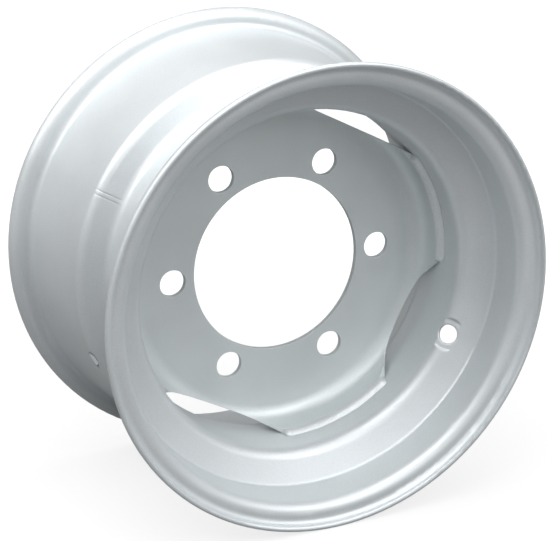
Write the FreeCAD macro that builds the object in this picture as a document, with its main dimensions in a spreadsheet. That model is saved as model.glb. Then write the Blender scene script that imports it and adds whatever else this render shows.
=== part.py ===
"""Steel disc wheel: a rolled drop-centre rim with a dished, scalloped disc welded into its well.

The wheel's axle line is +Y, its centre is the middle of the rim's width, and the outer side of
the wheel, which faces the viewer, looks towards -Y. All lengths are millimetres, all angles degrees.
"""
import FreeCAD, Part
import math
import os
import Sketcher
from FreeCAD import Placement, Rotation, Vector

# Driving dimensions
SIZES = {
    # Rim: rolled sheet, measured on the tyre side
    "rim_width": 228.6,         # between the two flanges
    "bead_seat_dia": 388.6,     # at the foot of each flange
    "flange_height": 17.7,      # bead seat to the top of the rounded lip
    "lip_reach": 12.2,          # flange face to lip edge, along the axle
    "rim_sheet": 4.5,
    "lip_flat": 0.6,            # left between the two rounded corners of the lip's edge
    "seat_angle": 5.0,
    "seat_width": 36.3,         # outer bead seat, flange to the edge of the well
    "ledge_width": 102.0,       # inner bead seat with its long ledge
    "well_depth": 32.8,         # below the foot of the flange
    "slope_angle": 66.0,        # sides of the well, from the axle line
    "lip_bend": 5.0,            # bend radii are those of the hollow side
    "heel_bend": 6.0,
    "seat_edge_bend": 2.5,
    "well_bend": 9.0,
    "ledge_edge_bend": 6.0,
    # Disc: pressed plate
    "disc_plate": 5.0,
    "disc_offset": 0.0,         # hub face from the rim's middle, towards the outer side
    "dish_depth": 26.0,         # outer face of the plate to the end of its flange
    "dish_bend": 17.0,
    "disc_fit": 0.1,            # clearance between the disc's flange and the well
    "bore_dia": 163.4,
    "bolt_hole_dia": 24.8,
    "bolt_land": 8.4,           # plate left between the bore and a bolt hole
    "bolt_count": 6,
    "bolt_angle": -0.6,         # a bolt hole from the middle of the gap nearest to it
    "gap_depth": 15.1,          # rim of the disc to the straight edge of the gaps nearest to bolt holes
    "side_gap_depth": 12.4,     # the same for the gaps square to them
    "gap_corner": 12.0,         # how far the flange slopes down at each end of a gap
    "gap_count": 4,
    "disc_angle": 62.6,
    # Weld beads between the disc's flange and the well
    "weld_leg": 6.0,
    "weld_setback": 0.5,        # bead end to the corner of the flange
    "weld_end_round": 2.6,
    # Valve hole, on a flat across the corner of the well
    "valve_hole_dia": 17.5,
    "valve_flat_dia": 30.0,
    "valve_flat_sink": 2.0,     # below the bend that it flattens
    "valve_tilt": 45.0,         # axis of the hole, from the axle line
    "valve_angle": -26.0,
}

# Rim: places on the tyre side of its section, as expressions
HALF = "(sizes.rim_width / 2)"
SHEET = "sizes.rim_sheet"
HEEL_R = "(sizes.bead_seat_dia / 2)"
LIP_R = f"({HEEL_R} + sizes.flange_height)"
LIP_END = f"({HALF} + sizes.lip_reach)"
LIP_ROUND = f"(({SHEET} - sizes.lip_flat) / 2)"
WELL_R = f"({HEEL_R} - sizes.well_depth)"
TAPER = "sizes.seat_angle * 1 deg"
SLOPE = "sizes.slope_angle * 1 deg"
FALL = f"tan({TAPER})"
RISE = f"tan({SLOPE})"

# Rim: the axis side of the section, one sheet further in
LIP_IN_R = f"({LIP_R} - {SHEET})"
WALL_IN = f"({HALF} + {SHEET})"
SEAT_SHIFT = f"({SHEET} / cos({TAPER}))"
SLOPE_SHIFT = f"({SHEET} / sin({SLOPE}))"
HEEL_IN_R = f"({HEEL_R} - {SEAT_SHIFT} + {FALL} * {SHEET})"
WELL_IN_R = f"({WELL_R} - {SHEET})"

# Disc: back face, turned-out flange and its end, and circle of the bolt holes
HUB_FACE = "(-sizes.disc_offset)"
DISC_FRONT = f"({HUB_FACE} - sizes.disc_plate)"
FLANGE_END = f"({DISC_FRONT} - sizes.dish_depth)"
FLANGE_R = f"({WELL_IN_R} - sizes.disc_fit)"
FLANGE_IN_R = f"({FLANGE_R} - sizes.disc_plate)"
BOLT_R = "(sizes.bore_dia / 2 + sizes.bolt_land + sizes.bolt_hole_dia / 2)"

# Gaps: straight edge from the axle line, half its length at the flange's two faces, and half its arc
GAPS = {}
for depth in ("gap_depth", "side_gap_depth"):
    chord = f"({FLANGE_R} - sizes.{depth})"
    foot = f"sqrt({FLANGE_IN_R} ^ 2 - {chord} ^ 2)"
    mouth = f"sqrt({FLANGE_R} ^ 2 - {chord} ^ 2)"
    GAPS[depth] = {"chord": chord, "foot": foot, "mouth": mouth, "arc": f"asin({mouth} / {FLANGE_IN_R})"}
GAP_STEP = "360 deg / sizes.gap_count"

# Welds: arc of a bead between two gaps, and how far its middle lies from the deeper one's side
SETBACK_ARC = f"(sizes.weld_setback / {WELL_IN_R} * 180 deg / pi)"
BEAD_ARC = f"{GAP_STEP} - {GAPS['gap_depth']['arc']} - {GAPS['side_gap_depth']['arc']} - 2 * {SETBACK_ARC}"
BEAD_SHIFT = f"({GAPS['gap_depth']['arc']} - {GAPS['side_gap_depth']['arc']}) / 2"

doc = FreeCAD.newDocument("disc_wheel")


def make_sheet():
    """Spreadsheet with one named cell for each driving dimension."""
    sheet = doc.addObject("Spreadsheet::Sheet", "sizes")
    for row, (name, number) in enumerate(SIZES.items(), start=1):
        sheet.set(f"A{row}", name)
        sheet.set(f"B{row}", str(number))
        sheet.setAlias(f"B{row}", name)
    doc.recompute()
    return sheet


sizes = make_sheet()


def value(expression):
    """Present number behind an expression."""
    number = sizes.evalExpression(expression)
    return float(getattr(number, "Value", number))


def new_body(label):
    body = doc.addObject("PartDesign::Body", label)
    body.Label = label
    return body


def origin_item(body, role):
    """One of the body's own origin planes or axes."""
    return next(item for item in body.Origin.OriginFeatures if item.Role == role)


def new_sketch(body, name, plane):
    """Sketch on one of the body's own origin planes."""
    sketch = body.newObject("Sketcher::SketchObject", name)
    sketch.AttachmentSupport = [(origin_item(body, plane), "")]
    sketch.MapMode = "FlatFace"
    return sketch


def bind(sketch, kind, *reference, size):
    """Dimension driven by an expression."""
    index = sketch.addConstraint(Sketcher.Constraint(kind, *reference, value(size)))
    sketch.setExpression(f"Constraints[{index}]", size)


def pin_point(sketch, x_size, y_size):
    """Construction point held at two driven distances from the axes."""
    point = sketch.addGeometry(Part.Point(Vector(value(x_size), value(y_size), 0)), True)
    bind(sketch, "DistanceX", -1, 1, point, 1, size=x_size)
    bind(sketch, "DistanceY", -1, 1, point, 1, size=y_size)
    return point


def bend(corner, before, after, turn, radius):
    """Bend at a corner between two directions: where it starts, where it ends, and its radius."""
    x, y = corner
    run = f"({radius}) * tan(({turn}) / 2)"
    start = (f"{x} - {run} * {before[0]}", f"{y} - {run} * {before[1]}")
    end = (f"{x} + {run} * {after[0]}", f"{y} + {run} * {after[1]}")
    return start, end, radius


def arc_between(before, start, end, radius):
    """Arc from start to end that carries on from a run, and whether it turns left."""
    chord = end - start
    turns_left = (start - before).cross(chord).z > 0
    middle = (start + end) * 0.5
    left = Vector(-chord.y, chord.x, 0).normalize()
    reach = math.sqrt(radius ** 2 - (chord.Length / 2) ** 2)
    centre = middle + left * (reach if turns_left else -reach)
    first, last = (start, end) if turns_left else (end, start)
    angles = [math.atan2(point.y - centre.y, point.x - centre.x) for point in (first, last)]
    circle = Part.Circle(centre, Vector(0, 0, 1), radius)
    return Part.ArcOfCircle(circle, *angles), turns_left


def closed_outline(sketch, items):
    """Closed outline through driven corners, given as points, and bends; returns its straight sides."""
    points = []
    radii = []
    for item in items:
        is_bend = len(item) == 3
        for place in (item[:2] if is_bend else (item,)):
            points.append(pin_point(sketch, *place))
            radii.append(None)
        if is_bend:
            radii[-2] = item[2]
    sides = []
    for index, radius in enumerate(radii):
        first, last = points[index], points[(index + 1) % len(points)]
        start, end = sketch.getPoint(first, 1), sketch.getPoint(last, 1)
        if radius:
            before = sketch.getPoint(points[index - 1], 1)
            arc, turns_left = arc_between(before, start, end, value(radius))
            side = sketch.addGeometry(arc)
            ends = (1, 2) if turns_left else (2, 1)
            bind(sketch, "Radius", side, size=radius)
        else:
            side = sketch.addGeometry(Part.LineSegment(start, end))
            ends = (1, 2)
            sides.append(side)
        sketch.addConstraint(Sketcher.Constraint("Coincident", side, ends[0], first, 1))
        sketch.addConstraint(Sketcher.Constraint("Coincident", side, ends[1], last, 1))
    return sides


def revolve(body, name, sketch, axis, kind="PartDesign::Revolution"):
    """Full turn of a sketch about one of its lines, added to the body or cut from it."""
    turned = body.newObject(kind, name)
    turned.Profile = sketch
    turned.ReferenceAxis = (sketch, [axis])
    turned.Angle = 360
    doc.recompute()
    return turned


def cut_round(body, name, sketch, copies, both_ways=True):
    """Cut a sketch right through the disc and repeat it round the axle."""
    before = body.Shape.Volume
    pocket = body.newObject("PartDesign::Pocket", name)
    pocket.Profile = sketch
    pocket.Type = "ThroughAll"
    pocket.Midplane = both_ways
    pocket.Reversed = not both_ways
    doc.recompute()
    pattern = body.newObject("PartDesign::PolarPattern", name + "_round")
    pattern.Originals = [pocket]
    pattern.Axis = (origin_item(body, "Y_Axis"), [""])
    pattern.Angle = 360
    pattern.setExpression("Occurrences", copies)
    body.Tip = pattern
    doc.recompute()
    if body.Shape.Volume >= before:
        raise RuntimeError(name + " cut nothing")


def turn_about_axle(body, angle):
    """Turn a finished body about the axle, counter-clockwise seen from the outer side."""
    body.Placement = Placement(Vector(), Rotation(Vector(0, -1, 0), value(angle)))
    body.setExpression("Placement.Rotation.Angle", f"({angle}) * 1 deg")


def well_side(width):
    """Corners of one side of the well on both faces of the sheet, for a bead seat of the given width."""
    seat_r = f"({HEEL_R} - {FALL} * {width})"
    seat_place = f"({HALF} - {width})"
    well_place = f"({seat_place} - ({seat_r} - {WELL_R}) / {RISE})"
    well_in_place = f"({well_place} - {SHEET} / {RISE} + {SLOPE_SHIFT})"
    # Where the shifted seat and the shifted slope cross
    seat_line = f"({HEEL_R} - {SEAT_SHIFT} - {FALL} * {HALF})"
    slope_line = f"({well_in_place} - {WELL_IN_R} / {RISE})"
    seat_in_r = f"(({seat_line} + {FALL} * {slope_line}) / (1 - {FALL} / {RISE}))"
    seat_in_place = f"({slope_line} + {seat_in_r} / {RISE})"
    return (seat_r, seat_place), (WELL_R, well_place), (seat_in_r, seat_in_place), (WELL_IN_R, well_in_place)


def rim_half(side, seat_width, seat_bend):
    """One half of the rim's section, edge of the lip to the well: tyre side, then axis side.

    The outer half of the wheel is side -1 and the inner half is +1.
    """
    seat, well, seat_in, well_in = well_side(seat_width)
    lip = ("0", f"({-side})")
    wall = ("(-1)", "0")
    along_seat = (f"(-sin({TAPER}))", f"({-side} * cos({TAPER}))")
    down_slope = (f"(-sin({SLOPE}))", f"({-side} * cos({SLOPE}))")
    corners = [
        ((LIP_R, HALF), (LIP_IN_R, WALL_IN), lip, wall, "90 deg", "sizes.lip_bend", "axis"),
        ((HEEL_R, HALF), (HEEL_IN_R, WALL_IN), wall, along_seat, f"90 deg - {TAPER}",
         "sizes.heel_bend", "tyre"),
        (seat, seat_in, along_seat, down_slope, f"{SLOPE} - {TAPER}", seat_bend, "axis"),
        (well, well_in, down_slope, lip, SLOPE, "sizes.well_bend", "tyre"),
    ]
    outward, inward = ("1", "0"), ("(-1)", "0")
    tyre_side = [bend((LIP_R, f"{side} * {LIP_END}"), outward, lip, "90 deg", LIP_ROUND)]
    axis_side = [bend((LIP_IN_R, f"{side} * {LIP_END}"), inward, lip, "90 deg", LIP_ROUND)]
    for outer, inner, before, after, turn, radius, hollow in corners:
        wide = f"{radius} + {SHEET}"
        outer_place = (outer[0], f"{side} * {outer[1]}")
        inner_place = (inner[0], f"{side} * {inner[1]}")
        tyre_side.append(bend(outer_place, before, after, turn, radius if hollow == "tyre" else wide))
        axis_side.append(bend(inner_place, before, after, turn, wide if hollow == "tyre" else radius))
    return tyre_side, axis_side


def reverse(items):
    """The same run of corners and bends, walked the other way."""
    return [(item[1], item[0], item[2]) if len(item) == 3 else item for item in reversed(items)]


def make_rim():
    """Drop-centre rim rolled from one sheet, with the valve hole in the corner of its well."""
    body = new_body("rim")
    front_tyre, front_axis = rim_half(-1, "sizes.seat_width", "sizes.seat_edge_bend")
    back_tyre, back_axis = rim_half(1, "sizes.ledge_width", "sizes.ledge_edge_bend")
    section = new_sketch(body, "rim_section", "XY_Plane")
    closed_outline(section, front_tyre + reverse(back_tyre) + back_axis + reverse(front_axis))
    revolve(body, "rim_roll", section, "V_Axis")
    cut_valve_hole(body, f"-1 * {well_side('sizes.seat_width')[1][1]}")
    turn_about_axle(body, "sizes.valve_angle")
    return body


def cut_valve_hole(body, well_place):
    """Flat across the bend between the well and its outer slope, with the valve hole in it."""
    across = "cos(sizes.valve_tilt * 1 deg)"
    along = "sin(sizes.valve_tilt * 1 deg)"
    sunk = f"(sizes.well_bend + {SHEET} - sizes.valve_flat_sink)"
    bend_run = "sizes.well_bend * tan(sizes.slope_angle * 0.5 deg)"
    flat_r = f"({WELL_R} + sizes.well_bend - {sunk} * {along})"
    flat_place = f"({well_place} + {bend_run} - {sunk} * {across})"
    flat_reach = "sizes.valve_flat_dia / 2"
    hole_reach = "sizes.valve_hole_dia / 2"
    clear = "sizes.valve_flat_dia"
    # Distance off the hole's axis, and height above the flat
    half_section = [
        ("0", clear),
        (flat_reach, clear),
        (flat_reach, "0"),
        (hole_reach, "0"),
        (hole_reach, f"-{clear}"),
        ("0", f"-{clear}"),
    ]
    corners = []
    for reach, rise in half_section:
        x = f"{flat_r} + ({reach}) * {across} - ({rise}) * {along}"
        y = f"{flat_place} - ({reach}) * {along} - ({rise}) * {across}"
        corners.append((x, y))
    sketch = new_sketch(body, "valve_hole_section", "XY_Plane")
    axis_side = closed_outline(sketch, corners)[-1]
    ends = sketch.getPoint(axis_side, 2), sketch.getPoint(axis_side, 1)
    axis = sketch.addGeometry(Part.LineSegment(*ends), True)
    sketch.addConstraint(Sketcher.Constraint("Coincident", axis, 1, axis_side, 2))
    sketch.addConstraint(Sketcher.Constraint("Coincident", axis, 2, axis_side, 1))
    revolve(body, "valve_hole", sketch, "Axis0", kind="PartDesign::Groove")


def cut_gap_pair(body, name, gap, square):
    """Gaps on opposite sides of the disc, along its first axis or square to that."""

    def place(along, across):
        return (across, along) if square else (along, across)

    pair = "sizes.gap_count / 2"
    outline = new_sketch(body, name + "_outline", "XZ_Plane")
    closed_outline(outline, [
        place(gap["chord"], f"-{WELL_R}"),
        place(WELL_R, f"-{WELL_R}"),
        place(WELL_R, WELL_R),
        place(gap["chord"], WELL_R),
    ])
    cut_round(body, name, outline, pair)
    # Ends of the flange slope down to the gap; drawn as seen along the gap's middle line
    corner = new_sketch(body, name + "_corner_outline", "XY_Plane" if square else "YZ_Plane")
    foot_place = f"{FLANGE_END} + sizes.gap_corner"
    clear_place = f"{FLANGE_END} - sizes.gap_corner"
    clear_reach = f"(2 * {gap['mouth']} - {gap['foot']})"
    closed_outline(corner, [
        place(foot_place, f"-{gap['foot']}"),
        place(foot_place, gap["foot"]),
        place(clear_place, clear_reach),
        place(clear_place, f"-{clear_reach}"),
    ])
    cut_round(body, name + "_corners", corner, pair, both_ways=False)


def make_disc():
    """Disc pressed from plate: flat hub face, turned-out flange, bore, bolt holes and gaps."""
    body = new_body("disc")
    bore_r = "sizes.bore_dia / 2"
    section = new_sketch(body, "disc_section", "XY_Plane")
    outward, inward = ("1", "0"), ("(-1)", "0")
    forward, backward = ("0", "(-1)"), ("0", "1")
    closed_outline(section, [
        (bore_r, HUB_FACE),
        bend((FLANGE_R, HUB_FACE), outward, forward, "90 deg", "sizes.dish_bend + sizes.disc_plate"),
        (FLANGE_R, FLANGE_END),
        (FLANGE_IN_R, FLANGE_END),
        bend((FLANGE_IN_R, DISC_FRONT), backward, inward, "90 deg", "sizes.dish_bend"),
        (bore_r, DISC_FRONT),
    ])
    revolve(body, "disc_dish", section, "V_Axis")
    bolt = new_sketch(body, "bolt_hole_outline", "XZ_Plane")
    bolt_angle = "(sizes.bolt_angle * 1 deg)"
    centre = pin_point(bolt, f"{BOLT_R} * cos{bolt_angle}", f"{BOLT_R} * sin{bolt_angle}")
    ring = bolt.addGeometry(Part.Circle(
        bolt.getPoint(centre, 1), Vector(0, 0, 1), value("sizes.bolt_hole_dia / 2")))
    bolt.addConstraint(Sketcher.Constraint("Coincident", ring, 3, centre, 1))
    bind(bolt, "Diameter", ring, size="sizes.bolt_hole_dia")
    cut_round(body, "bolt_holes", bolt, "sizes.bolt_count")
    cut_gap_pair(body, "gaps", GAPS["gap_depth"], square=False)
    cut_gap_pair(body, "side_gaps", GAPS["side_gap_depth"], square=True)
    turn_about_axle(body, "sizes.disc_angle")
    return body


def make_weld_bead(number):
    """Fillet weld along one arc of the disc's flange, with rounded ends."""
    body = new_body(f"weld_bead_{number}")
    section = new_sketch(body, "bead_section", "XY_Plane")
    root = Vector(value(WELL_IN_R), value(FLANGE_END), 0)
    leg = value("sizes.weld_leg")
    on_flange = root - Vector(leg, 0, 0)
    on_well = root - Vector(0, leg, 0)
    crown_top = root - Vector(leg, leg, 0) * math.sqrt(0.5)
    corner = pin_point(section, WELL_IN_R, FLANGE_END)
    foot = section.addGeometry(Part.LineSegment(root, on_flange))
    crown = section.addGeometry(Part.Arc(on_flange, crown_top, on_well))
    back = section.addGeometry(Part.LineSegment(on_well, root))
    section.addConstraint(Sketcher.Constraint("Coincident", foot, 1, corner, 1))
    section.addConstraint(Sketcher.Constraint("Coincident", back, 2, corner, 1))
    section.addConstraint(Sketcher.Constraint("Coincident", crown, 3, corner, 1))
    section.addConstraint(Sketcher.Constraint("Coincident", foot, 2, crown, 1))
    section.addConstraint(Sketcher.Constraint("Coincident", crown, 2, back, 1))
    section.addConstraint(Sketcher.Constraint("Horizontal", foot))
    section.addConstraint(Sketcher.Constraint("Vertical", back))
    bind(section, "Radius", crown, size="sizes.weld_leg")
    bead = revolve(body, "bead", section, "V_Axis")
    bead.Midplane = True
    bead.setExpression("Angle", BEAD_ARC)
    doc.recompute()
    ends = [
        f"Edge{index}" for index, edge in enumerate(body.Shape.Edges, start=1)
        if isinstance(edge.Curve, Part.Circle) and math.isclose(edge.Curve.Radius, leg, abs_tol=1e-4)
    ]
    rounded = body.newObject("PartDesign::Fillet", "bead_ends")
    rounded.Base = (bead, ends)
    rounded.setExpression("Radius", "sizes.weld_end_round")
    body.Tip = rounded
    from_deep_gap = 1 if number % 2 else -1
    middle = f"{GAP_STEP} * {number - 0.5} + {from_deep_gap} * {BEAD_SHIFT}"
    turn_about_axle(body, f"sizes.disc_angle + ({middle}) / 1 deg")
    return body


def check_and_write(bodies):
    """Stop on any failed object or bad solid, then write one file for each sub-part."""
    doc.recompute()
    for item in doc.Objects:
        if {"Invalid", "Error"} & set(item.State):
            raise RuntimeError(f"{item.Name} failed: {item.State}")
    for body in bodies:
        if body.Shape.isNull() or not body.Shape.isValid() or len(body.Shape.Solids) != 1:
            raise RuntimeError(f"{body.Label} has no sound solid")
    os.makedirs("parts", exist_ok=True)
    for body in bodies:
        body.Shape.exportStep(f"parts/{body.Label}.step")
        print(body.Label, round(body.Shape.Volume), "mm3")


wheel = [make_rim(), make_disc()]
wheel += [make_weld_bead(number) for number in range(1, int(value("sizes.gap_count")) + 1)]
check_and_write(wheel)
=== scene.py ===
import math
import bpy
from mathutils import Matrix, Vector


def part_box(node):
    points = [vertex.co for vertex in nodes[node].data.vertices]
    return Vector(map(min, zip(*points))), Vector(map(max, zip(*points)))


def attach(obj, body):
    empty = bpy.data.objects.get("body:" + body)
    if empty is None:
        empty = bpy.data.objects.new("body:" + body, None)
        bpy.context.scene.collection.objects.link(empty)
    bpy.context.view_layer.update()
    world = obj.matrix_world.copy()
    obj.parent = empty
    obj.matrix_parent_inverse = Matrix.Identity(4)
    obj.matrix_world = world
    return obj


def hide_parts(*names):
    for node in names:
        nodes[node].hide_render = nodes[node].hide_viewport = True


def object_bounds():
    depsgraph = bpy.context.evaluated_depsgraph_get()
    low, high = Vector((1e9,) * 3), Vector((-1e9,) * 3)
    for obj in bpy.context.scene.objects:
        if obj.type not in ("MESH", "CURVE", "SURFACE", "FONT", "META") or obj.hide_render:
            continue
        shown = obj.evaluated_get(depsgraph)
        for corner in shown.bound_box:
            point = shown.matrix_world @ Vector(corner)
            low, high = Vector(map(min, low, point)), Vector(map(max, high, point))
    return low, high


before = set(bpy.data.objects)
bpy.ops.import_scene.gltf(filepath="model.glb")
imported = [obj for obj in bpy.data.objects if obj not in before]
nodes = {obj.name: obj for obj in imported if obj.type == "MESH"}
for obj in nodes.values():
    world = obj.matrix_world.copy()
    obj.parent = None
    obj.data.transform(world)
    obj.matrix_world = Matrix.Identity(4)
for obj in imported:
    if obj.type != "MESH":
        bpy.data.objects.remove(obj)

cad_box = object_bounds()
scene = bpy.context.scene

# Places taken from the frame, in metres
FLOOR_Z = cad_box[0][2]
FLANGE_END_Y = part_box("disc")[0][1]

# Sizes shared with the part, in metres and degrees
WELL_IN_R = 0.157
FLANGE_R = 0.1569
FLANGE_IN_R = 0.1519
DISC_TURN = 62.6
GAP_COUNT = 4
GAP_DEPTHS = (0.0151, 0.0124)

# Weld section: places inward from the well and forward from the flange's end
WELD_FLANGE_FOOT = (0.0055, -0.0003)
WELD_WELL_FOOT = (0.0, 0.0080)
WELD_CROWN = 0.0009
WELD_FLANGE_BACK = (0.0050, -0.0012)
WELD_WELL_BACKS = ((-0.0004, 0.0070), (-0.0004, -0.0012))
WELD_FRONT_POINTS = 16

# Weld run: its ends, ripples and slow changes of size (share, radians per metre, shift from run to run)
WELD_STEPS = 420
WELD_OVERRUN = 0.0032
WELD_NOSE = 0.0068
WELD_TIP = 1e-3
RIPPLE_PITCH = 0.0027
RIPPLE_LAG = 0.0022
RIPPLE_SHARE = 0.025
WELD_WANDERS = ((0.035, 150.0, 1.0), (0.02, 430.0, 2.1))

# Rim's butt weld: a faint peak all across, with two tool lines on the side of the well, darkened there with
# painted shade
SEAM_TURN = 152.75
SEAM_PEAK = 0.0002
SEAM_REACH = 0.020
SEAM_SIDE = (0.05, 0.10)
SLOPE_START = (0.001, 0.005)
SLOPE_END = (0.013, 0.019)
TOOL_LINE_OFF = 0.0021
TOOL_LINE_WIDTH = 0.0012
TOOL_LINE_DEPTH = 0.00015
# Painted shade in the tool-line grooves: how far the paint is darkened there, and the dark grey it goes
# towards
TOOL_LINE_SHADE = 0.25
PAINTED_GROOVE_SHADE = (0.30, 0.31, 0.33, 1.0)

# Hit mark on the edge of the well
HIT_PLACE = (-0.1711, 0.0177, -0.0725)
HIT_SIZE = (0.0085, 0.0075, 0.0030)
HIT_SLANT = (0.0050, -0.0035, 0.0)
HIT_FADE = (0.7, 1.0)

# Paint
CLOUD_SCALE = 9.0
FLAKE_SCALE = 1400.0
FLAKE_GLINT = 0.035
PEEL_SCALE = 330.0
PEEL_DEPTH = 0.0004
GLOSS_CHANGE = 0.05
METALLIC = 0.55
COAT = 0.15
COAT_ROUGHNESS = 0.2

# Staging: floor, wall, room light and lamps (place in metres, power in watts)
FLOOR_REACH = 6.0
FLOOR_TONE = 0.20
SHADOW_GLOW = 0.78
SHADOW_REACH = (0.35, 0.95)
WALL_Y = 1.0
WALL_HALF_WIDTH = 3.0
WALL_TOP = 2.4
WALL_TONE = 0.40
ROOM_TINT = (0.95, 0.97, 1.0, 1.0)
ROOM_LIGHT = 0.50
WHITE = (1.0, 1.0, 1.0, 1.0)
LAMP_SIZE = 1.8
LAMPS = (
    ("overhead", (0.0, -0.1, 2.6), 33.0),
    ("front_left", (-1.2, -1.4, 2.5), 30.0),
    ("front_right", (0.7, -2.5, 1.5), 15.0),
    ("right", (1.6, -2.0, 2.0), 26.0),
    ("back_left", (-1.9, 0.6, 2.0), 42.0),
)

# Camera: place in metres, its three directions, and lens in millimetres
CAMERA_PLACE = (-0.7567, -1.5852, 0.5989)
CAMERA_RIGHT = (0.9017, -0.4324, 0.0)
CAMERA_UP = (0.1412, 0.2945, 0.9452)
CAMERA_FORWARD = (0.4087, 0.8523, -0.3266)
LENS = 131.9
SENSOR = 36.0


def polar(radius, y, turn):
    """Point at an angle about the axle, counter-clockwise from +X seen from the outer side."""
    return (radius * math.cos(turn), y, radius * math.sin(turn))


def add_mesh(name, verts, faces, material, smooth=None):
    """New mesh object in the frame, flat or with the faces that are marked smooth."""
    mesh = bpy.data.meshes.new(name)
    mesh.from_pydata(verts, [], faces)
    mesh.materials.append(material)
    mesh.polygons.foreach_set("use_smooth", smooth or [False] * len(faces))
    mesh.update()
    obj = bpy.data.objects.new(name, mesh)
    scene.collection.objects.link(obj)
    return obj


class Graph:
    """Short way to add and link the nodes of a material or a world."""

    def __init__(self, owner):
        owner.use_nodes = True
        self.owner = owner
        self.tree = owner.node_tree
        self.tree.nodes.clear()

    def add(self, kind, inputs=None, **settings):
        """New node, with each input linked to a socket or set to a value."""
        node = self.tree.nodes.new(kind)
        for key, setting in settings.items():
            setattr(node, key, setting)
        for key, source in (inputs or {}).items():
            if isinstance(source, bpy.types.NodeSocket):
                self.tree.links.new(source, node.inputs[key])
            else:
                node.inputs[key].default_value = source
        return node

    def place(self):
        """Place on the surface, in the frame."""
        return self.add("ShaderNodeTexCoord").outputs["Object"]

    def noise(self, place, scale, **inputs):
        """Noise from 0 to 1."""
        return self.add("ShaderNodeTexNoise", {"Vector": place, "Scale": scale, **inputs}).outputs["Fac"]

    def math(self, operation, first, second=0.0):
        return self.add("ShaderNodeMath", {0: first, 1: second}, operation=operation).outputs[0]

    def dot(self, first, second):
        node = self.add("ShaderNodeVectorMath", {0: first, 1: second}, operation="DOT_PRODUCT")
        return node.outputs["Value"]

    def length(self, vector):
        node = self.add("ShaderNodeVectorMath", {0: vector}, operation="LENGTH")
        return node.outputs["Value"]

    def ramp(self, factor, span, to_low=0.0, to_high=1.0):
        """Smooth change from one value to another over a span of the factor."""
        node = self.add("ShaderNodeMapRange", {
            "Value": factor, "From Min": span[0], "From Max": span[1], "To Min": to_low, "To Max": to_high,
        }, interpolation_type="SMOOTHSTEP")
        return node.outputs["Result"]

    def mix(self, factor, first, second):
        """Blend of two colours."""
        return self.add("ShaderNodeMix", {0: factor, 6: first, 7: second}, data_type="RGBA").outputs[2]

    def bump(self, height, normal, strength, distance):
        node = self.add("ShaderNodeBump", {
            "Strength": strength, "Distance": distance, "Height": height, "Normal": normal})
        return node.outputs["Normal"]

    def by_camera(self, unseen, seen):
        """One shader for what the camera sees, and another for all other rays."""
        by_ray = self.add("ShaderNodeLightPath").outputs["Is Camera Ray"]
        return self.add("ShaderNodeMixShader", {0: by_ray, 1: unseen, 2: seen}).outputs[0]

    def finish(self, shader, output="ShaderNodeOutputMaterial"):
        self.add(output, {"Surface": shader})
        return self.owner


def seam_marks(g, place):
    """Height in metres of the rim's trimmed butt weld, and painted shade from 0 to 1 in its two tool-line
    grooves.
    """
    seam = math.radians(SEAM_TURN)
    off = g.math("ABSOLUTE", g.dot(place, polar(1.0, 0.0, seam + math.pi / 2)))
    this_side = g.ramp(g.dot(place, polar(1.0, 0.0, seam)), SEAM_SIDE)
    along = g.add("ShaderNodeSeparateXYZ", {0: place}).outputs["Y"]
    on_slope = g.math("MULTIPLY", g.ramp(along, SLOPE_START), g.ramp(along, SLOPE_END, 1.0, 0.0))
    from_line = g.math("ABSOLUTE", g.math("SUBTRACT", off, TOOL_LINE_OFF))
    line = g.math("MULTIPLY", g.ramp(from_line, (0.0, TOOL_LINE_WIDTH), 1.0, 0.0),
                  g.math("MULTIPLY", this_side, on_slope))
    peak = g.math("MULTIPLY", g.ramp(off, (0.0, SEAM_REACH), SEAM_PEAK, 0.0), this_side)
    height = g.math("SUBTRACT", peak, g.math("MULTIPLY", line, TOOL_LINE_DEPTH))
    return height, g.math("MULTIPLY", line, TOOL_LINE_SHADE)


def hit_mark(g, place):
    """Height in metres of a long facet tilted up."""
    turn = math.atan2(HIT_PLACE[2], HIT_PLACE[0])
    long_way = Vector(polar(1.0, 0.0, turn + math.pi / 2))
    face = Vector(polar(1.0, 0.0, turn))
    axes = Matrix((long_way, face.cross(long_way), face)).transposed()
    local = g.add("ShaderNodeMapping", {
        "Vector": place, "Location": HIT_PLACE, "Rotation": axes.to_euler(), "Scale": HIT_SIZE,
    }, vector_type="TEXTURE").outputs[0]
    inside = g.ramp(g.length(local), HIT_FADE, 1.0, 0.0)
    return g.math("MULTIPLY", inside, g.dot(local, HIT_SLANT))


def rim_marks(g, place):
    """Height of all the marks on the rim, and the painted shade in the seam's tool-line grooves."""
    height, groove_shade = seam_marks(g, place)
    return g.math("ADD", height, hit_mark(g, place)), groove_shade


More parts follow.
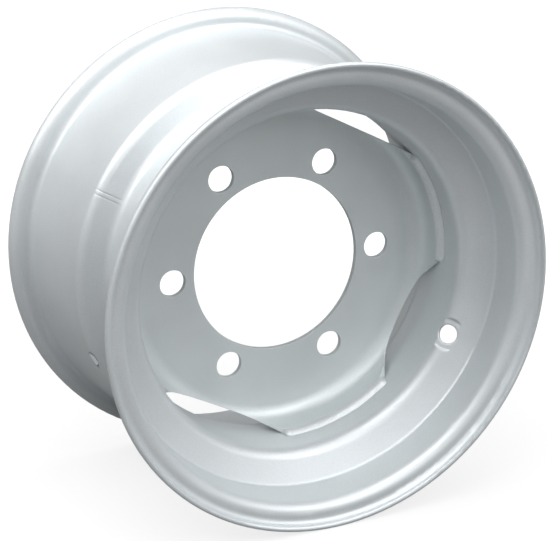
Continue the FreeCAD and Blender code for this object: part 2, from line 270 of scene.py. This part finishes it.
def silver_paint(name, base, roughness, peel, blotch, edge=0.0008, marks=None):
    """Satin silver paint with cloudy tone, fine flake, orange peel and softened edges; marks, where given,
    add bumps and painted shade.
    """
    g = Graph(bpy.data.materials.new(name))
    place = g.place()
    cloud = g.noise(place, CLOUD_SCALE, Detail=4.0, Roughness=0.55)
    flake = g.noise(place, FLAKE_SCALE, Detail=1.0)
    skin = g.noise(place, PEEL_SCALE, Detail=2.0)
    dark = (*(part * (1 - blotch) for part in base), 1.0)
    light = (*(part * (1 + blotch) for part in base), 1.0)
    tone = g.mix(g.ramp(cloud, (0.3, 0.7)), dark, light)
    glint = g.ramp(flake, (0.35, 0.65), 1 - FLAKE_GLINT, 1 + FLAKE_GLINT)
    glints = g.add("ShaderNodeCombineXYZ", {0: glint, 1: glint, 2: glint}).outputs[0]
    paint = g.add("ShaderNodeVectorMath", {0: tone, 1: glints}, operation="MULTIPLY").outputs[0]
    normal = g.add("ShaderNodeBevel", {"Radius": edge}, samples=8).outputs["Normal"]
    if marks:
        height, groove_shade = marks(g, place)
        normal = g.bump(height, normal, strength=1.0, distance=1.0)
        # Paint darkened towards dark grey where the marks ask for painted shade in their grooves
        paint = g.mix(groove_shade, paint, PAINTED_GROOVE_SHADE)
    normal = g.bump(skin, normal, strength=peel, distance=PEEL_DEPTH)
    gloss = g.ramp(cloud, (0.25, 0.75), roughness - GLOSS_CHANGE, roughness + GLOSS_CHANGE)
    shader = g.add("ShaderNodeBsdfPrincipled", {
        "Base Color": paint, "Roughness": gloss, "Metallic": METALLIC,
        "Coat Weight": COAT, "Coat Roughness": COAT_ROUGHNESS, "Normal": normal})
    return g.finish(shader.outputs[0])


# Rim and disc
rim_paint = silver_paint("rim_silver", (0.68, 0.712, 0.722), roughness=0.48, peel=0.10, blotch=0.03,
                         edge=0.003, marks=rim_marks)
disc_paint = silver_paint("disc_silver", (0.67, 0.712, 0.715), roughness=0.50, peel=0.14, blotch=0.04)
for name, paint in (("rim", rim_paint), ("disc", disc_paint)):
    nodes[name].data.materials.clear()
    nodes[name].data.materials.append(paint)

# Weld beads
weld_paint = silver_paint("weld_silver", (0.69, 0.715, 0.722), roughness=0.48, peel=0.16, blotch=0.05)


def gap_half_arc(depth):
    """Half the arc that a gap takes out of the weld."""
    chord = FLANGE_R - depth
    return math.asin(math.sqrt(FLANGE_R ** 2 - chord ** 2) / FLANGE_IN_R) - WELD_OVERRUN / WELL_IN_R


def weld_section():
    """Closed section of a bead: place inward, place forward, and the share of the crown there."""
    (in_0, fore_0), (in_1, fore_1) = WELD_FLANGE_FOOT, WELD_WELL_FOOT
    width = math.hypot(in_1 - in_0, fore_1 - fore_0)
    section = [(*WELD_FLANGE_BACK, 0.0)]
    for i in range(WELD_FRONT_POINTS):
        across = i / (WELD_FRONT_POINTS - 1)
        bulge = math.sin(math.pi * across)
        lift = WELD_CROWN * bulge / width
        inward = in_0 + (in_1 - in_0) * across + (fore_1 - fore_0) * lift
        forward = fore_0 + (fore_1 - fore_0) * across - (in_1 - in_0) * lift
        section.append((inward, forward, bulge))
    # The hidden back lies just inside the rim and the flange
    return section + [(*back, 0.0) for back in WELD_WELL_BACKS]


def weld_bead(number):
    """Fillet weld along one arc of the disc's flange, with shallow ripples and rounded ends."""
    quarter = 2 * math.pi / GAP_COUNT
    gap_before = math.radians(DISC_TURN) + quarter * (number - 1)
    start = gap_before + gap_half_arc(GAP_DEPTHS[(number - 1) % 2])
    arc = gap_before + quarter - gap_half_arc(GAP_DEPTHS[number % 2]) - start
    length = arc * WELL_IN_R
    section = weld_section()
    row = len(section)
    verts, faces, smooth = [], [], []
    for i in range(WELD_STEPS + 1):
        run = length * i / WELD_STEPS
        turn = start + run / WELL_IN_R
        from_end = min(1.0, run / WELD_NOSE, (length - run) / WELD_NOSE)
        end = math.sqrt(max(0.0, 1 - (1 - from_end) ** 2))
        wander = 1 + sum(share * math.sin(rate * run + shift * number) for share, rate, shift in WELD_WANDERS)
        for inward, forward, bulge in section:
            phase = (run - RIPPLE_LAG * bulge) / RIPPLE_PITCH
            ripple = 0.5 + 0.5 * math.cos(2 * math.pi * phase)
            size = end * (wander - RIPPLE_SHARE * ripple * bulge) + WELD_TIP
            verts.append(polar(WELL_IN_R - inward * size, FLANGE_END_Y - forward * size, turn))
    for i in range(WELD_STEPS):
        for j in range(row):
            a = i * row + j
            b = i * row + (j + 1) % row
            faces.append((a, b, b + row, a + row))
            smooth.append(j < WELD_FRONT_POINTS)
    last = WELD_STEPS * row
    faces += [tuple(reversed(range(row))), tuple(range(last, last + row))]
    smooth += [False, False]
    obj = add_mesh(f"weld_run_{number}", verts, faces, weld_paint, smooth)
    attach(obj, "root")
    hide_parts(f"weld_bead_{number}")


for number in range(1, GAP_COUNT + 1):
    weld_bead(number)


def matt_paint(name, tone):
    """Plain matt grey."""
    g = Graph(bpy.data.materials.new(name))
    return g.finish(g.add("ShaderNodeBsdfDiffuse", {"Color": (tone, tone, tone, 1.0)}).outputs[0])


def floor_paint(name, tone):
    """Matt floor that the camera sees as white, apart from the wheel's soft shadow near the wheel."""
    g = Graph(bpy.data.materials.new(name))
    matt = g.add("ShaderNodeBsdfDiffuse", {"Color": (tone, tone, tone, 1.0)}).outputs[0]
    strength = g.ramp(g.length(g.place()), SHADOW_REACH, SHADOW_GLOW, 1.0)
    glow = g.add("ShaderNodeEmission", {"Strength": strength}).outputs[0]
    white = g.add("ShaderNodeAddShader", {0: matt, 1: glow}).outputs[0]
    return g.finish(g.by_camera(matt, white))


# Floor, and a wall behind the wheel that dims the light from there and that the camera doesn't see
floor_corners = [(x * FLOOR_REACH, y * FLOOR_REACH, FLOOR_Z) for x, y in ((-1, -1), (1, -1), (1, 1), (-1, 1))]
floor = add_mesh("floor", floor_corners, [(0, 1, 2, 3)], floor_paint("floor_white", FLOOR_TONE))
wall_ends = (-WALL_HALF_WIDTH, WALL_HALF_WIDTH)
wall_corners = [(x, WALL_Y, z) for z in (FLOOR_Z, WALL_TOP) for x in wall_ends]
wall = add_mesh("wall", wall_corners, [(0, 1, 3, 2)], matt_paint("wall_white", WALL_TONE))
wall.visible_camera = False

# Room light, which the camera sees as white
room = Graph(bpy.data.worlds.new("studio"))
room_light = room.add("ShaderNodeBackground", {"Color": ROOM_TINT, "Strength": ROOM_LIGHT}).outputs[0]
backdrop = room.add("ShaderNodeBackground", {"Color": WHITE, "Strength": 1.0}).outputs[0]
scene.world = room.finish(room.by_camera(room_light, backdrop), "ShaderNodeOutputWorld")


def soft_lamp(name, place, watts):
    """Square softbox turned towards the wheel's centre."""
    lamp = bpy.data.lights.new(name, "AREA")
    lamp.shape = "SQUARE"
    lamp.size = LAMP_SIZE
    lamp.energy = watts
    obj = bpy.data.objects.new(name, lamp)
    obj.location = place
    obj.rotation_euler = (-Vector(place)).to_track_quat("-Z", "Y").to_euler()
    scene.collection.objects.link(obj)


for name, place, watts in LAMPS:
    soft_lamp(name, place, watts)

# Camera
camera_data = bpy.data.cameras.new("camera")
camera_data.lens = LENS
camera_data.sensor_width = SENSOR
camera = bpy.data.objects.new("camera", camera_data)
turned = Matrix((CAMERA_RIGHT, CAMERA_UP, -Vector(CAMERA_FORWARD))).transposed().to_4x4()
camera.matrix_world = Matrix.Translation(CAMERA_PLACE) @ turned
scene.collection.objects.link(camera)
scene.camera = camera

scene.view_settings.view_transform = "Standard"
